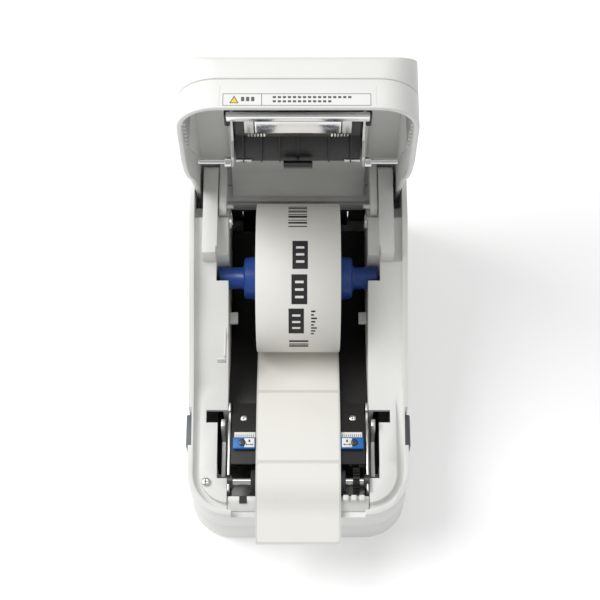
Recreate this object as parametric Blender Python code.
"""Compact thermal label printer with its cover open, in metres, +Z up and the front towards -Y.

Sizes below are in millimetres. Y is measured from the label roll's axis and moved to the frame's
origin, the middle of the whole printer's footprint, when a mesh is made. The cover is drawn shut,
where it fits the base, and is then swung open about its hinge.
"""

import math

import bpy
import bmesh
from mathutils import Vector

MM = 0.001
GAP = 0.4                      # between pieces that touch
SIDES = 24                     # sides of a round piece

# Base
BASE_WIDTH = 136.0
BASE_FRONT = -149.5
BASE_REAR = 75.0
FRONT_CORNER = 26.0
REAR_CORNER = 12.0
WALL = 3.2
FOOT_HEIGHT = 3.0
FOOT_RADIUS = 7.0
SPLIT_Z = 30.0                 # where the tray meets the upper case
RIM_FRONT_Z = 57.0
RIM_REAR_Z = 108.0
NEST = 2.0                     # how far the cover's side rim drops inside the base's rim

# Label roll and spindle
ROLL_RADIUS = 47.0
ROLL_Z = 75.0
WEB_WIDTH = 52.0
WEB_THICK = 0.5
CORE_RADIUS = 14.5
CORE_WALL = 1.8
SPINDLE_RADIUS = 7.0
SPINDLE_LENGTH = 100.6
FLANGE_RADIUS = 13.0
FLANGE_INNER = 27.0
FLANGE_OUTER = 34.0
BAY_HALF = 43.7                # half the width of the media compartment

# Platen and its gears
PLATEN_Y = -128.5
PLATEN_Z = 57.5
PLATEN_RADIUS = 7.0
PLATEN_HALF = 29.0
SHAFT_RADIUS = 2.5
BEARING_RADIUS = 5.0
MODULE = 0.8
PLATEN_TEETH = 19
IDLER_TEETH = 25
PINION_TEETH = 10
GEAR_PLAY = 1.3                # added to the pitch radii, so that the teeth clear at any angle
GEAR_X = 33.5
GEAR_WIDTH = 4.0
MOTOR_Y = -99.0
MOTOR_Z = 47.2
MOTOR_RADIUS = 12.2
MOTOR_LENGTH = 38.0
FRAME_SHEET = 1.5              # of the steel channel round them

# Hinge and cover
HINGE_Y = 38.0
HINGE_Z = 100.0
OPEN_ANGLE = 91.0
PIN_RADIUS = 2.0
COVER_PLAY = 0.5               # each side, between the cover and the base's rim
COVER_WALL = 2.8
COVER_TOP_Z = 132.0
COVER_FRONT_TOP_Z = 95.9
COVER_LIP_Z = 62.6
COVER_SLOPE_END_Y = -72.0
COVER_REAR_ANGLE = 32.0        # where the curved rear of the shut cover ends, above the horizontal
PARTING_HEIGHT = 17.7          # of the cover's two shells, above its rim

# Print head and latch, with the cover shut
HEAD_HALF = 38.0
LATCH_Y = -88.0
LATCH_Z = PLATEN_Z + PLATEN_RADIUS - 1.5
LATCH_REACH = 54.5
LATCH_RADIUS = 1.5
CARRIER_HALF = 34.6

# Buttons and guides
BUTTON_Y = -95.0
BUTTON_LENGTH = 21.0
BUTTON_Z = 48.0
BUTTON_HEIGHT = 15.0
BUTTON_PROUD = 1.7
BUTTON_RECESS = 2.1            # of the wall above and round a button
GUIDE_Y = -106.5
GUIDE_LENGTH = 7.4
GUIDE_PLAY = 0.4

# Worked out from the sizes above
HALF = BASE_WIDTH / 2
COVER_HALF = HALF - WALL - COVER_PLAY
COVER_FRONT = BASE_FRONT + WALL + COVER_PLAY + 0.5
HINGE_RISE = COVER_TOP_Z - HINGE_Z
WELL_RADIUS = HINGE_RISE + 1.5
WEB_END_Y = BASE_FRONT - 17.0
SWING = math.radians(OPEN_ANGLE)
OPEN_BACK = HINGE_Y + HINGE_RISE * math.sin(SWING) - (HINGE_Y - COVER_SLOPE_END_Y) * math.cos(SWING)
ROLL_Y = -(WEB_END_Y + max(OPEN_BACK, BASE_REAR)) / 2

PLASTIC = ("housing_plastic", (0.83, 0.83, 0.80), 0.45, 0.0)
BLACK = ("black_plastic", (0.025, 0.023, 0.022), 0.5, 0.0)
BLUE = ("blue_plastic", (0.02, 0.09, 0.38), 0.4, 0.0)
GREY = ("grey_plastic", (0.12, 0.13, 0.14), 0.5, 0.0)
STEEL = ("steel", (0.62, 0.62, 0.60), 0.28, 1.0)
RUBBER = ("rubber", (0.03, 0.03, 0.03), 0.75, 0.0)
PAPER = ("paper", (0.88, 0.88, 0.84), 0.6, 0.0)
BOARD = ("circuit_board", (0.02, 0.16, 0.07), 0.5, 0.0)


# ---------------------------------------------------------------- modelling tools

def clear_scene():
    for thing in list(bpy.data.objects):
        bpy.data.objects.remove(thing, do_unlink=True)


def material(look):
    name, colour, roughness, metallic = look
    found = bpy.data.materials.get(name)
    if found:
        return found
    made = bpy.data.materials.new(name)
    made.use_nodes = True
    shader = made.node_tree.nodes["Principled BSDF"]
    shader.inputs["Base Color"].default_value = (*colour, 1.0)
    shader.inputs["Roughness"].default_value = roughness
    shader.inputs["Metallic"].default_value = metallic
    return made


def mesh_object(name, points, faces, look):
    """An object from points in millimetres, with Y measured from the roll's axis."""
    made = bmesh.new()
    corners = [made.verts.new((x * MM, (y + ROLL_Y) * MM, z * MM)) for x, y, z in points]
    for face in faces:
        made.faces.new([corners[i] for i in face])
    bmesh.ops.recalc_face_normals(made, faces=made.faces)
    data = bpy.data.meshes.new(name)
    made.to_mesh(data)
    made.free()
    data.shade_smooth()
    data.set_sharp_from_angle(angle=math.radians(30))
    thing = bpy.data.objects.new(name, data)
    bpy.context.scene.collection.objects.link(thing)
    if look:
        data.materials.append(material(look))
    else:
        thing.hide_render = True
        thing.display_type = "WIRE"
    return thing


def loft(name, first, second, look):
    """A solid between two outlines with the same number of points."""
    count = len(first)
    sides = [(i, (i + 1) % count, count + (i + 1) % count, count + i) for i in range(count)]
    caps = [tuple(range(count)), tuple(range(count, 2 * count))]
    return mesh_object(name, list(first) + list(second), sides + caps, look)


def prism_x(name, profile, x0, x1, look=None):
    """A solid with a side outline of (y, z) points, from x0 to x1."""
    return loft(name, [(x0, y, z) for y, z in profile], [(x1, y, z) for y, z in profile], look)


def prism_z(name, outline, z0, z1, look=None):
    """A solid with a plan outline of (x, y) points, from z0 to z1."""
    return loft(name, [(x, y, z0) for x, y in outline], [(x, y, z1) for x, y in outline], look)


def block(name, x, y, z, look=None):
    """A box from three (low, high) pairs."""
    return prism_x(name, [(y[0], z[0]), (y[1], z[0]), (y[1], z[1]), (y[0], z[1])], x[0], x[1], look)


def turned(name, centre, steps, look=None, bore=0.0, sides=SIDES):
    """A solid turned about a line along X through centre (y, z); steps are (x, radius) pairs."""
    rings = list(steps)
    if bore:
        rings = rings + [(rings[-1][0], bore), (rings[0][0], bore)]
    points = []
    for x, radius in rings:
        for i in range(sides):
            turn = 2 * math.pi * i / sides
            points.append((x, centre[0] + radius * math.cos(turn), centre[1] + radius * math.sin(turn)))
    faces = []
    for ring in range(len(rings) if bore else len(rings) - 1):
        after = (ring + 1) % len(rings)
        for i in range(sides):
            j = (i + 1) % sides
            faces.append((ring * sides + i, ring * sides + j, after * sides + j, after * sides + i))
    if not bore:
        faces.append(tuple(range(sides)))
        faces.append(tuple(range((len(rings) - 1) * sides, len(rings) * sides)))
    return mesh_object(name, points, faces, look)


def boolean(thing, other, operation):
    """Cuts, joins or meets two solids; the other one is kept as a hidden helper."""
    other.hide_render = True
    other.display_type = "WIRE"
    other.parent = thing
    step = thing.modifiers.new(operation.lower(), "BOOLEAN")
    step.operation = operation
    step.solver = "EXACT"
    step.object = other
    return thing


def cut(thing, *others):
    for other in others:
        boolean(thing, other, "DIFFERENCE")
    return thing


def join(thing, *others):
    for other in others:
        boolean(thing, other, "UNION")
    return thing


def soften(thing, width=0.6, segments=2):
    step = thing.modifiers.new("soften", "BEVEL")
    step.width = width * MM
    step.segments = segments
    step.limit_method = "ANGLE"
    return thing


def pivot(name, x, y, z, *pieces):
    """An empty on a joint's axis that carries the pieces that move with it."""
    empty = bpy.data.objects.new(name, None)
    empty.location = (x * MM, (y + ROLL_Y) * MM, z * MM)
    bpy.context.scene.collection.objects.link(empty)
    for piece in pieces:
        carry(empty, piece)
    return empty


def carry(empty, piece):
    piece.parent = empty
    piece.location = Vector(piece.location) - Vector(empty.location)


# ---------------------------------------------------------------- outlines

def arc(centre, radius, start, end, steps):
    """Points round a centre, from start to end degrees."""
    found = []
    for i in range(steps + 1):
        turn = math.radians(start + (end - start) * i / steps)
        found.append((centre[0] + radius * math.cos(turn), centre[1] + radius * math.sin(turn)))
    return found


def plan(inset):
    """The base's plan outline, moved in by inset."""
    half = HALF - inset
    front = FRONT_CORNER - inset
    rear = max(REAR_CORNER - inset, 1.0)
    low = BASE_FRONT + inset
    high = BASE_REAR - inset
    outline = arc((half - rear, high - rear), rear, 0, 90, 6)
    outline += arc((-half + rear, high - rear), rear, 90, 180, 6)
    outline += arc((-half + front, low + front), front, 180, 270, 10)
    outline += arc((half - front, low + front), front, 270, 360, 10)
    return outline


def rim(drop=0.0):
    """The base's side rim from front to rear, moved down by drop."""
    rise = RIM_REAR_Z - RIM_FRONT_Z
    shape = [(BASE_FRONT - 10, 0.0), (-121, 0.06), (-85, 0.17), (-64, 0.275)]
    shape += [(-42, 0.44), (-16, 0.685), (26, 1.0)]
    line = [(y, RIM_FRONT_Z + rise * share - drop) for y, share in shape]
    return line + [(BASE_REAR + 10, RIM_REAR_Z - drop)]


def deck_line(drop=0.0):
    """The top of the panels beside the roll, from front to rear."""
    front = RIM_FRONT_Z + 1.5
    rear = RIM_REAR_Z - 7
    line = [(BASE_FRONT - 10, front), (-66, front + 5), (0, ROLL_Z + 16), (26, rear), (BASE_REAR + 10, rear)]
    return [(y, z - drop) for y, z in line]


def span(side, a, b):
    """The (low, high) pair of two distances from the middle, on the side -1 or 1."""
    return tuple(sorted((side * a, side * b)))


def above(line, top=200.0):
    return line + [(line[-1][0], top), (line[0][0], top)]


def below(line, bottom=0.0):
    return line + [(line[-1][0], bottom), (line[0][0], bottom)]


def cover_profile(inset):
    """The shut cover's roof line from its front lip to its rear edge, moved in by inset."""
    radius = HINGE_RISE - inset
    slope = math.atan2(COVER_TOP_Z - 3 - COVER_FRONT_TOP_Z, COVER_SLOPE_END_Y - COVER_FRONT)
    line = [(COVER_FRONT + inset, COVER_LIP_Z - 30), (COVER_FRONT + inset, COVER_FRONT_TOP_Z - 4 - inset * 0.6)]
    line.append((COVER_FRONT + 4 + inset * 0.7, COVER_FRONT_TOP_Z - inset / math.cos(slope) * 0.9))
    line.append((COVER_SLOPE_END_Y, COVER_TOP_Z - 3 - inset / math.cos(slope)))
    line.append((COVER_SLOPE_END_Y + 22, COVER_TOP_Z - inset))
    line += arc((HINGE_Y, HINGE_Z), radius, 90, COVER_REAR_ANGLE, 8)
    return line


def cover_rim():
    """The shut cover's lower edge, from front to rear."""
    line = [(COVER_FRONT - 10, COVER_LIP_Z), (-121, COVER_LIP_Z)]
    line += [point for point in rim(NEST) if -100 < point[0] < 30]
    end = arc((HINGE_Y, HINGE_Z), HINGE_RISE, COVER_REAR_ANGLE, COVER_REAR_ANGLE, 1)[0]
    return line + [end, (end[0] + 20, end[1] + 6)]


def well(inner, x0, x1, name):
    """The space behind the hinge that the cover's curved rear swings through."""
    start = -64.0
    outer_arc = arc((HINGE_Y, HINGE_Z), WELL_RADIUS, start, 0, 8)
    top = [(HINGE_Y + WELL_RADIUS, 150)]
    if inner:
        back = [(HINGE_Y + inner, 150)] + arc((HINGE_Y, HINGE_Z), inner, 0, start, 8)
    else:
        back = [(HINGE_Y - 8, 150), (HINGE_Y - 8, HINGE_Z - 9), (HINGE_Y + 3, HINGE_Z - 9)]
    return prism_x(name, outer_arc + top + back, x0, x1)


def smooth_path(points, steps):
    """A Catmull-Rom curve through (y, z) points."""
    padded = [points[0]] + list(points) + [points[-1]]
    found = []
    for i in range(len(points) - 1):
        a, b, c, d = padded[i:i + 4]
        for s in range(steps):
            t = s / steps
            found.append(tuple(
                0.5 * (2 * b[k] + (c[k] - a[k]) * t + (2 * a[k] - 5 * b[k] + 4 * c[k] - d[k]) * t ** 2
                       + (3 * b[k] - a[k] - 3 * c[k] + d[k]) * t ** 3) for k in (0, 1)))
    return found + [points[-1]]


def thickened(path, below_it, above_it):
    """A closed outline round a path, with its own thickness under and over it."""
    upper, lower = [], []
    for i, (y, z) in enumerate(path):
        before, after = path[max(i - 1, 0)], path[min(i + 1, len(path) - 1)]
        dy, dz = after[0] - before[0], after[1] - before[1]
        length = math.hypot(dy, dz)
        ny, nz = -dz / length, dy / length
        if nz < 0:
            ny, nz = -ny, -nz
        upper.append((y + ny * above_it, z + nz * above_it))
        lower.append((y - ny * below_it, z - nz * below_it))
    return upper + lower[::-1]


def web_path():
    """The label web's underside, from the roll's lower front to its free end."""
    leave = math.radians(243)
    reach = ROLL_RADIUS + GAP + 0.4
    start = (reach * math.cos(leave), ROLL_Z + reach * math.sin(leave))
    crest = PLATEN_Z + PLATEN_RADIUS + GAP
    points = [start, (-40, start[1] + 9.3), (-60, start[1] + 19), (-74, crest - 8.2), (-88, crest - 3.3)]
    points += [(-101, crest - 0.7), (-114, crest), (PLATEN_Y, crest), (PLATEN_Y - 8, crest - 2.2)]
    points += [(BASE_FRONT + 3.5, RIM_FRONT_Z - 0.6), (BASE_FRONT - 6, RIM_FRONT_Z - 3.2)]
    points += [(WEB_END_Y, RIM_FRONT_Z - 5.5)]
    return smooth_path(points, 3)


# ---------------------------------------------------------------- base

def make_base():
    tray = prism_z("base_tray", plan(0), FOOT_HEIGHT, SPLIT_Z, PLASTIC)
    cut(tray, prism_z("tray_hollow", plan(WALL), FOOT_HEIGHT + WALL, SPLIT_Z + 5))
    panel_x, panel_z = (-46.0, 46.0), (9.0, 27.0)
    cut(tray, block("panel_opening", panel_x, (BASE_REAR - WALL - 2, BASE_REAR + 2), panel_z))
    foot_x = HALF - 22
    for side, x in (("left", -foot_x), ("right", foot_x)):
        for end, y in (("front", BASE_FRONT + 28), ("rear", BASE_REAR - 22)):
            foot = prism_z(f"foot_{end}_{side}", arc((x, y), FOOT_RADIUS, 0, 345, 23), 0,
                           FOOT_HEIGHT - GAP, RUBBER)
            soften(foot, 0.6, 1)
    make_rear_panel(panel_x, panel_z)
    make_upper_case()
    board = block("main_board", (-52, 52), (-112, 52), (11, 12.6), BOARD)
    join(board, block("board_processor", (-9, 9), (-30, -12), (12, 14.6)))
    join(board, block("board_capacitors", (20, 34), (18, 30), (12, 19)))
    join(board, block("board_posts", (-46, -40), (-100, -94), (FOOT_HEIGHT + WALL + GAP, 12)))


def make_rear_panel(panel_x, panel_z):
    inner = (BASE_REAR - WALL + 0.2, BASE_REAR - 0.6)
    panel = block("rear_panel", (panel_x[0] + GAP, panel_x[1] - GAP), inner,
                  (panel_z[0] + GAP, panel_z[1] - GAP), GREY)
    holes = {"power_inlet": (-38.0, -24.0), "data_port": (-12.0, 1.0), "power_switch": (18.0, 34.0)}
    middle = (panel_z[0] + panel_z[1]) / 2
    for name, (x0, x1) in holes.items():
        cut(panel, block(name + "_hole", (x0, x1), (inner[0] - 2, inner[1] + 2), (middle - 6, middle + 6)))
    shell_y = (BASE_REAR - 16, BASE_REAR - 0.4)
    for name, look in (("power_inlet", BLACK), ("data_port", STEEL)):
        x0, x1 = holes[name]
        shell = block(name, (x0 + GAP, x1 - GAP), shell_y, (middle - 6 + GAP, middle + 6 - GAP), look)
        cut(shell, block(name + "_socket", (x0 + 2.2, x1 - 2.2), (BASE_REAR - 10, BASE_REAR + 2),
                         (middle - 3.8, middle + 3.8)))
    x0, x1 = holes["power_switch"]
    rocker_y = BASE_REAR - 4.0
    rocker = [(rocker_y - 4, middle - 5), (BASE_REAR - 1.4, middle - 5.0), (BASE_REAR - 2.6, middle),
              (BASE_REAR - 0.4, middle + 4.6), (rocker_y - 4, middle + 4.6)]
    switch = prism_x("power_switch", rocker, x0 + 0.7, x1 - 0.7, BLACK)
    pivot("switch_pivot", (x0 + x1) / 2, rocker_y, middle, switch)


def make_upper_case():
    case = prism_z("base_upper_case", plan(0), SPLIT_Z + GAP, RIM_REAR_Z + 4, PLASTIC)
    cut(case, prism_x("above_rim", above(rim()), -HALF - 5, HALF + 5))
    seat = prism_x("above_deck", above(deck_line()), -HALF - 5, HALF + 5)
    boolean(seat, prism_z("inside_rim", plan(WALL), 20, 190), "INTERSECT")
    cut(case, seat)
    groove = prism_x("above_groove", above(rim(NEST + 3)), -HALF - 5, HALF + 5)
    boolean(groove, prism_z("groove_outside", plan(WALL), 20, 190), "INTERSECT")
    cut(groove, prism_z("groove_inside", plan(WALL + COVER_WALL + 2 * COVER_PLAY + 0.4), 10, 195))
    cut(case, groove)
    # Shoulders that the hinge pins sit in
    shape = [(3, 94), (3, RIM_REAR_Z), (61, RIM_REAR_Z), (62, 100), (56, 84), (48, 77), (40, 77), (20, 94)]
    for side, tag in ((-1, "left"), (1, "right")):
        join(case, prism_x("shoulder_" + tag, shape, *span(side, 50.3, 59.4)))
    # The media compartment and the print bay in front of it, open right through
    bay_front = BASE_FRONT + WALL + 0.2
    cut(case, block("media_bay", (-BAY_HALF, BAY_HALF), (bay_front, 54), (20, 160)))
    cut(case, block("mouth", (-41, 41), (BASE_FRONT - 5, bay_front + 1), (RIM_FRONT_Z - 5.5, 160)))
    for side in (-1, 1):
        tag = "left" if side < 0 else "right"
        pocket_x = span(side, BAY_HALF + 3, HALF - WALL - 4.8)
        pocket = prism_x("pocket_" + tag, below(deck_line(WALL), 20), *pocket_x)
        limit = block("pocket_limit_" + tag, span(side, 40, HALF), (-117, 0), (10, 120))
        cut(case, boolean(pocket, limit, "INTERSECT"))
        rear = block("rear_pocket_" + tag, span(side, BAY_HALF + 3, HALF - WALL - 0.3), (9, 60), (20, 61.5))
        cut(case, rear)
        cut(case, well(0, *span(side, 59.8, HALF - WALL + 0.15), "side_well_" + tag))
        cut(case, turned("hinge_hole_" + tag, (HINGE_Y, HINGE_Z),
                         [(x, PIN_RADIUS + 0.3) for x in span(side, 41, 58.2)], sides=16))
        # Spindle cradle, T-slot for the latch pin and the leg that the hook sits in
        cut(case, block("cradle_" + tag, span(side, BAY_HALF - 1.2, SPINDLE_LENGTH / 2 + 0.9),
                        (-SPINDLE_RADIUS - GAP, SPINDLE_RADIUS + GAP), (ROLL_Z, 160)))
        cradle_x = span(side, BAY_HALF - 1, SPINDLE_LENGTH / 2 + 0.7)
        cut(case, turned("cradle_round_" + tag, (0, ROLL_Z), [(x, SPINDLE_RADIUS + GAP) for x in cradle_x]))
        cut(case, block("t_slot_" + tag, span(side, BAY_HALF - 1, LATCH_REACH + 2.5),
                        (LATCH_Y - 4, LATCH_Y + 4), (36, 160)))
        cut(case, block("hook_slot_" + tag, span(side, BAY_HALF - 1.3, 50),
                        (LATCH_Y - 39, LATCH_Y - 3), (35, 160)))
        button_y = (BUTTON_Y - BUTTON_LENGTH / 2 - GAP, BUTTON_Y + BUTTON_LENGTH / 2 + GAP)
        button_z = (BUTTON_Z - BUTTON_HEIGHT / 2 - GAP, BUTTON_Z + BUTTON_HEIGHT / 2 + GAP)
        cut(case, block("button_hole_" + tag, span(side, HALF - WALL - 6, HALF + 4), button_y, button_z))
        recess_y = (button_y[0] - 0.8, button_y[1] + 0.8)
        recess_x = span(side, HALF - BUTTON_RECESS, HALF + 5)
        cut(case, block("button_recess_" + tag, recess_x, recess_y, (button_z[0] - 0.7, RIM_REAR_Z)))
    # Behind the hinge, room for the cover's rear, all across except at the shoulders
    cut(case, well(0, -50, 50, "middle_well"))
    cut(case, well(HINGE_RISE - COVER_WALL - 1.6, -HALF + WALL - 0.1, HALF - WALL + 0.1, "rear_well"))
    inner = HALF - WALL + 0.2
    cut(case, block("rear_low", (-inner, inner), (BASE_REAR - WALL - 2, BASE_REAR + 5), (98, 160)))
    cut(case, block("rear_bay", (-50, 50), (50, BASE_REAR - WALL - 0.2), (20, 63)))


# ---------------------------------------------------------------- print bay

def make_tub():
    """The trough under the roll, with an apron that leads the web forward."""
    radius = ROLL_RADIUS + 3.5
    leave = math.radians(243)
    start = (radius * math.cos(leave), ROLL_Z + radius * math.sin(leave))
    crest = PLATEN_Z + PLATEN_RADIUS
    path = [(-76, crest - 13.5), (-60, start[1] + 16.5), (-40, start[1] + 7), start]
    path += arc((0, ROLL_Z), radius, 250, 330, 8)
    prism_x("roll_tub", thickened(path, 2.2, 0), -BAY_HALF + GAP, BAY_HALF - GAP, BLACK)


def make_frame():
    """The steel channel that holds the platen, its gears and the motor."""
    half = BAY_HALF - GAP
    floor_z = 33.0
    y = (PLATEN_Y - BEARING_RADIUS - 2, -79.0)
    frame = block("print_frame", (-half, half), y, (floor_z, PLATEN_Z + 4.5), STEEL)
    cut(frame, block("frame_inside", (-half + FRAME_SHEET, half - FRAME_SHEET),
                     (y[0] - 5, y[1] + 5), (floor_z + FRAME_SHEET, 90)))
    hole = BEARING_RADIUS + 0.3
    cut(frame, turned("bearing_holes", (PLATEN_Y, PLATEN_Z), [(-60, hole), (60, hole)]))
    notch_y = (LATCH_Y - LATCH_RADIUS - 2, LATCH_Y + LATCH_RADIUS + 2)
    cut(frame, block("pin_notches", (-60, 60), notch_y, (LATCH_Z - LATCH_RADIUS - 2, 90)))
    for name, x in (("left", (-half - 0.1, -half + 3.2)), ("right", (half - 3.2, half + 0.1))):
        rings = [(v, BEARING_RADIUS) for v in x]
        turned("bearing_" + name, (PLATEN_Y, PLATEN_Z), rings, GREY, SHAFT_RADIUS + 0.3)


def gear(name, y, z, teeth, look, bore, hub=0.0):
    """A spur gear whose teeth have flat tops and straight flanks."""
    pitch = MODULE * teeth / 2
    outline = []
    for i in range(teeth):
        for share, radius in ((-0.25, -0.9), (-0.12, 0.55), (0.12, 0.55), (0.25, -0.9)):
            turn = 2 * math.pi * (i + share) / teeth
            outline.append((y + (pitch + radius) * math.cos(turn), z + (pitch + radius) * math.sin(turn)))
    made = prism_x(name, outline, GEAR_X, GEAR_X + GEAR_WIDTH, look)
    if bore:
        cut(made, turned(name + "_bore", (y, z), [(GEAR_X - 5, bore), (GEAR_X + 9, bore)], sides=16))
    return made


def make_drive():
    reach = MODULE / 2
    far = reach * (PLATEN_TEETH + IDLER_TEETH) + GEAR_PLAY
    near = reach * (IDLER_TEETH + PINION_TEETH) + GEAR_PLAY
    apart = math.hypot(PLATEN_Y - MOTOR_Y, PLATEN_Z - MOTOR_Z)
    along = (apart ** 2 + near ** 2 - far ** 2) / (2 * apart)
    aside = math.sqrt(max(near ** 2 - along ** 2, 0))
    uy, uz = (PLATEN_Y - MOTOR_Y) / apart, (PLATEN_Z - MOTOR_Z) / apart
    idler_y = MOTOR_Y + along * uy - aside * uz
    idler_z = MOTOR_Z + along * uz + aside * uy
    sleeve = [(-PLATEN_HALF, PLATEN_RADIUS), (PLATEN_HALF, PLATEN_RADIUS)]
    rubber = turned("platen_rubber", (PLATEN_Y, PLATEN_Z), sleeve, RUBBER, SHAFT_RADIUS + 0.3)
    end = BAY_HALF - GAP - 0.2
    shaft = turned("platen_shaft", (PLATEN_Y, PLATEN_Z), [(-end, SHAFT_RADIUS), (end, SHAFT_RADIUS)], STEEL)
    platen_gear = gear("platen_gear", PLATEN_Y, PLATEN_Z, PLATEN_TEETH, BLACK, SHAFT_RADIUS + 0.3)
    pivot("platen_pivot", 0, PLATEN_Y, PLATEN_Z, rubber, shaft, platen_gear)
    idler = gear("idler_gear", idler_y, idler_z, IDLER_TEETH, BLACK, 1.8)
    pivot("idler_pivot", 0, idler_y, idler_z, idler)
    pinion = gear("motor_pinion", MOTOR_Y, MOTOR_Z, PINION_TEETH, STEEL, 1.3)
    pivot("pinion_pivot", 0, MOTOR_Y, MOTOR_Z, pinion)
    stud = [(GEAR_X - 1.5, 1.5), (BAY_HALF - GAP - FRAME_SHEET - 0.3, 1.5)]
    turned("idler_stud", (idler_y, idler_z), stud, STEEL, sides=16)
    face = GEAR_X - 2.0
    body = [(face - MOTOR_LENGTH, MOTOR_RADIUS), (face, MOTOR_RADIUS)]
    shaft_end = [(face, 1.0), (GEAR_X + GEAR_WIDTH + 1, 1.0)]
    turned("stepper_motor", (MOTOR_Y, MOTOR_Z), body + shaft_end, GREY)


def make_guides():
    """The black plate under the web, and the two blue guides that stand beside the web."""
    crest = PLATEN_Z + PLATEN_RADIUS
    front = PLATEN_Y + PLATEN_TEETH * MODULE / 2 + 1.6
    path = [(-77, crest - 9.0), (-88, crest - 5.2), (-101, crest - 2.0), (front, crest - 1.2)]
    half = BAY_HALF - 2.3
    plate = prism_x("paper_guide_plate", thickened(smooth_path(path, 3), 1.8, 0), -half, half, BLACK)
    soften(plate, 0.3, 1)
    low = crest - 0.7
    for side, tag in ((-1, "left"), (1, "right")):
        x = span(side, WEB_WIDTH / 2 + GUIDE_PLAY, BAY_HALF - 3.6)
        y = (GUIDE_Y - GUIDE_LENGTH / 2, GUIDE_Y + GUIDE_LENGTH / 2)
        guide = block("width_guide_" + tag, x, y, (low, low + 2.6), BLUE)
        soften(guide, 0.5)
        head = arc((side * (WEB_WIDTH / 2 + 8.4), GUIDE_Y), 2.1, 0, 337.5, 15)
        screw = prism_z("guide_screw_" + tag, head, low + 2.9, low + 3.7, GREY)
        pivot("guide_pivot_" + tag, side * (WEB_WIDTH / 2 + GUIDE_PLAY), GUIDE_Y, low, guide, screw)


def make_bezel():
    """The piece across the mouth, with the slope that the labels leave over."""
    back = PLATEN_Y - PLATEN_RADIUS - 2.2
    front = BASE_FRONT + WALL + 0.3
    low = RIM_FRONT_Z - 4.5
    shape = [(front, 41), (front, low), (back - 3, PLATEN_Z - 0.2), (back, PLATEN_Z), (back, 41)]
    bezel = prism_x("front_bezel", shape, -BAY_HALF + GAP, BAY_HALF - GAP, PLASTIC)
    soften(bezel, 0.4, 1)


def make_media():
    """The roll on its core and spindle, and the loaded web."""
    half = WEB_WIDTH / 2
    sides = 40
    roll = turned("paper_roll", (0, ROLL_Z), [(-half, ROLL_RADIUS), (half, ROLL_RADIUS)], PAPER,
                  CORE_RADIUS + 0.3, sides)
    core = turned("roll_core", (0, ROLL_Z), [(-half, CORE_RADIUS), (half, CORE_RADIUS)],
                  ("card", (0.45, 0.33, 0.2), 0.8, 0.0), CORE_RADIUS - CORE_WALL)
    hub = CORE_RADIUS - CORE_WALL - 0.4
    end = SPINDLE_LENGTH / 2
    steps = [(-end, SPINDLE_RADIUS - 1), (-end + 1, SPINDLE_RADIUS), (-FLANGE_OUTER, SPINDLE_RADIUS)]
    steps += [(-FLANGE_OUTER, FLANGE_RADIUS), (-FLANGE_INNER, FLANGE_RADIUS + 0.6), (-FLANGE_INNER, hub)]
    steps += [(half - 4, hub), (half - 4, SPINDLE_RADIUS), (end - 1, SPINDLE_RADIUS), (end, SPINDLE_RADIUS - 1)]
    spindle = turned("spindle", (0, ROLL_Z), steps, BLUE)
    ring = [(FLANGE_INNER, FLANGE_RADIUS + 0.6), (FLANGE_OUTER, FLANGE_RADIUS)]
    flange = turned("spindle_flange", (0, ROLL_Z), ring, BLUE, SPINDLE_RADIUS + 0.3)
    pivot("roll_pivot", 0, 0, ROLL_Z, roll, core, spindle, flange)
    prism_x("label_web", thickened(web_path(), 0, WEB_THICK), -half, half, PAPER)


# ---------------------------------------------------------------- latch, buttons, screws

def make_latch_side(side, tag):
    hook_x = span(side, BAY_HALF + 1.2, BAY_HALF + 3.8)
    y, z = LATCH_Y, LATCH_Z
    shape = [(y - 36, z - 16), (y - 5, z - 18), (y + 1, z - 12), (y + 1, z - 8), (y - 4.5, z - 6),
             (y - 4.5, z + 0.5), (y - 3.4, z + 2.2), (y - 3.4, z + 3.6), (y - 8, z + 3.6), (y - 10.5, z - 2),
             (y - 14, z - 9), (y - 36, z - 11)]
    hook = prism_x("latch_hook_" + tag, shape, hook_x[0], hook_x[1], STEEL)
    pivot("hook_pivot_" + tag, side * (BAY_HALF + 2.5), y - 30, z - 14, hook)
    button_x = span(side, HALF - WALL - 4.0, HALF + BUTTON_PROUD)
    button_y = (BUTTON_Y - BUTTON_LENGTH / 2, BUTTON_Y + BUTTON_LENGTH / 2)
    button_z = (BUTTON_Z - BUTTON_HEIGHT / 2, BUTTON_Z + BUTTON_HEIGHT / 2)
    button = block("release_button_" + tag, button_x, button_y, button_z, GREY)
    soften(button, 0.9)
    pivot("button_pivot_" + tag, side * HALF, BUTTON_Y, BUTTON_Z, button)


def make_hinge_side(side, tag):
    """A pin through the shoulder and the cover's arm, and the spring beside them."""
    x = span(side, 40.6, 57.6)
    turned("hinge_pin_" + tag, (HINGE_Y, HINGE_Z), [(v, PIN_RADIUS) for v in x], STEEL, sides=16)
    coil = [(v, 4.6) for v in span(side, 41, 43.2)]
    turned("hinge_spring_" + tag, (HINGE_Y - 12, HINGE_Z + 2.4), coil, STEEL, 3.2, 20)


# ---------------------------------------------------------------- cover

def make_cover():
    """Every piece of the cover, drawn shut; the hinge's empty swings them open."""
    pieces = make_cover_shells()
    pieces += [make_carrier(), make_media_sensor()]
    for side, tag in ((-1, "left"), (1, "right")):
        pieces.append(make_arm(side, tag))
        pieces += make_head_side(side, tag)
    hinge = pivot("cover_hinge", 0, HINGE_Y, HINGE_Z, *pieces)
    for piece in make_head():
        carry(hinge, piece)
    hinge.rotation_euler.x = -SWING


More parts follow.
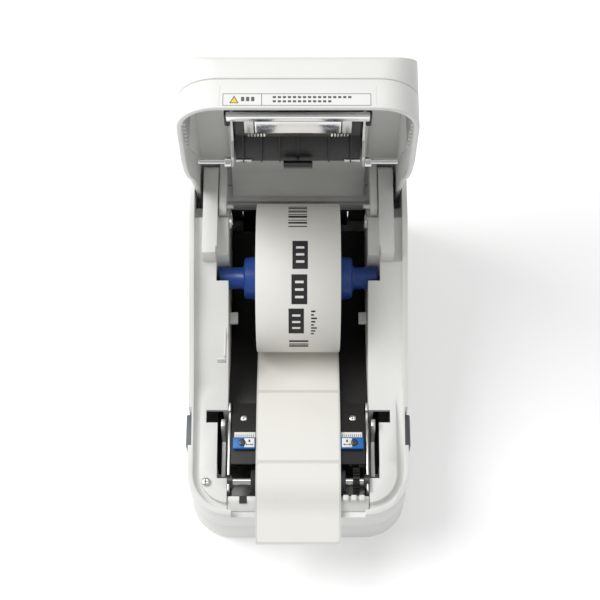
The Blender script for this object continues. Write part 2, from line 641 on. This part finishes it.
def cover_solid(name, inset, look=None):
    bottom = COVER_LIP_Z - 30
    side_line = cover_profile(inset)
    half = COVER_HALF - inset
    shape = prism_x(name, side_line + [(side_line[-1][0], bottom)], -half, half, look)
    front = arc((COVER_HALF - 22, COVER_FRONT + 22), 22 - inset, 270, 360, 10)
    outline = [(half, 90), (-half, 90)]
    outline += [(-px, py) for px, py in front[::-1]]
    outline += front
    boolean(shape, prism_z(name + "_plan", outline, 10, 190), "INTERSECT")
    return shape


def make_cover_shells():
    shells = []
    line = cover_rim()
    parting = [(y, z + PARTING_HEIGHT) for y, z in line[:-2]]
    parting += [(HINGE_Y + 12, parting[-1][1] + 0.5), (HINGE_Y + 60, parting[-1][1] + 1)]
    for name, look in (("cover_top_shell", PLASTIC), ("cover_lower_shell", PLASTIC)):
        shell = cover_solid(name, 0, look)
        cut(shell, cover_solid(name + "_inside", COVER_WALL))
        if name == "cover_top_shell":
            edge = [(y, z + 0.2) for y, z in parting]
            cut(shell, prism_x("top_trim", below(edge, 0), -90, 90))
        else:
            edge = [(y, z - 0.2) for y, z in parting]
            cut(shell, prism_x("lower_trim", above(edge), -90, 90))
            cut(shell, prism_x("rim_trim", below(line, 0), -90, 90))
        shells.append(shell)
    return shells


def roof_height(y):
    """The underside of the cover's sloping roof at y."""
    line = cover_profile(COVER_WALL)
    for (y0, z0), (y1, z1) in zip(line, line[1:]):
        if y0 <= y <= y1 and y1 > y0:
            return z0 + (z1 - z0) * (y - y0) / (y1 - y0)
    return line[-1][1]


def make_carrier():
    """The black frame in the cover that holds the print head and the latch pins."""
    low = PLATEN_Z + PLATEN_RADIUS
    back, front = -80.0, -123.0
    shape = [(front, low + 9), (-100, low + 9), (-95, low + 5.5), (-86, low + 3), (back, low + 3)]
    shape += [(back, roof_height(back) - GAP), (front, roof_height(front) - GAP)]
    carrier = prism_x("head_carrier", shape, -CARRIER_HALF, CARRIER_HALF, BLACK)
    hollow = [(front + 8, low + 14), (back - 3, low + 14)]
    hollow += [(back - 3, roof_height(back) + 9), (front + 8, roof_height(front + 8) + 9)]
    cut(carrier, prism_x("carrier_hollow", hollow, -CARRIER_HALF + 3, CARRIER_HALF - 3))
    cut(carrier, block("carrier_notch", (7, 13.5), (-112, -106), (low, low + 12)))
    for x in (-22.0, 22.0):
        cut(carrier, turned_up("spring_pocket", x, -116, 3.6, low + 4, low + 14))
    return carrier


def turned_up(name, x, y, radius, z0, z1, look=None, sides=16):
    return prism_z(name, arc((x, y), radius, 0, 360 - 360 / sides, sides - 1), z0, z1, look)


def make_head():
    """The print head and its bracket, on an axis behind the heating line."""
    low = PLATEN_Z + PLATEN_RADIUS + GAP + WEB_THICK + 0.5
    bar_y = (PLATEN_Y - 2.6, PLATEN_Y + 3.2)
    bar = block("thermal_head", (-HEAD_HALF, HEAD_HALF), bar_y, (low, low + 3.2), STEEL)
    soften(bar, 0.5, 1)
    bracket = block("head_bracket", (-HEAD_HALF + 4.8, HEAD_HALF - 4.8), (PLATEN_Y + 3.6, PLATEN_Y + 22),
                    (low + 2.0, low + 4.2), GREY)
    for side in (-1, 1):
        x = span(side, HEAD_HALF - 12, HEAD_HALF - 2)
        cut(bracket, block("guide_room", x, (GUIDE_Y - 5, GUIDE_Y + 5), (low, low + 2.6)))
    springs = []
    for x, tag in ((-22.0, "left"), (22.0, "right")):
        springs.append(turned_up("head_spring_" + tag, x, -116, 3.0, low + 4.8, low + 11.5, STEEL))
    head = pivot("head_pivot", 0, PLATEN_Y + 20, low + 3, bar, bracket)
    return [head] + springs


def make_head_side(side, tag):
    """One of the carrier's steel cheeks, with the pin that the latch hook catches."""
    low = PLATEN_Z + PLATEN_RADIUS
    x = span(side, CARRIER_HALF + 0.4, CARRIER_HALF + 1.8)
    shape = [(-119, low + 10), (-97, low + 6), (-94, LATCH_Z - 1), (-83, LATCH_Z - 1), (-81, low + 24),
             (-119, low + 24)]
    cheek = prism_x("head_cheek_" + tag, shape, x[0], x[1], STEEL)
    start = CARRIER_HALF + 2.1
    steps = [(start, 3.2), (start + 3.4, 3.2), (start + 3.4, LATCH_RADIUS), (LATCH_REACH, LATCH_RADIUS)]
    pin = turned("latch_pin_" + tag, (LATCH_Y, LATCH_Z), [(side * v, r) for v, r in steps], STEEL, sides=16)
    return [cheek, pin]


def make_media_sensor():
    return turned("media_sensor_roller", (-83.0, LATCH_Z + 0.6), [(-8, 2.2), (8, 2.2)], GREY, sides=16)


def make_arm(side, tag):
    """The arm that hangs the cover on its hinge pin."""
    x = span(side, 45.0, 49.6)
    boss = arc((HINGE_Y, HINGE_Z), 6.4, 180, 360, 10)
    top = HINGE_RISE - COVER_WALL - GAP
    shape = boss + arc((HINGE_Y, HINGE_Z), top, 64, 100, 5)
    arm = prism_x("hinge_arm_" + tag, shape, x[0], x[1], PLASTIC)
    return cut(arm, turned("arm_bore_" + tag, (HINGE_Y, HINGE_Z),
                           [(v, PIN_RADIUS + 0.3) for v in span(side, 40, 55)], sides=16))


def make_screw():
    """The one screw that shows on the panels, at the left front corner."""
    x = -HALF + 11.5
    y = BASE_FRONT + 20.0
    z = deck_height(y)
    screw = prism_z("corner_screw", arc((x, y), 2.6, 0, 337.5, 15), z + 0.3, z + 1.4, STEEL)
    cut(screw, prism_z("screw_socket", arc((x, y), 1.2, 0, 300, 5), z + 0.8, z + 3))


def deck_height(y):
    line = deck_line()
    for (y0, z0), (y1, z1) in zip(line, line[1:]):
        if y0 <= y <= y1:
            return z0 + (z1 - z0) * (y - y0) / (y1 - y0)
    return line[-1][1]


def main():
    clear_scene()
    make_base()
    make_tub()
    make_frame()
    make_drive()
    make_guides()
    make_bezel()
    make_media()
    for side, tag in ((-1, "left"), (1, "right")):
        make_latch_side(side, tag)
        make_hinge_side(side, tag)
    make_screw()
    make_cover()


main()
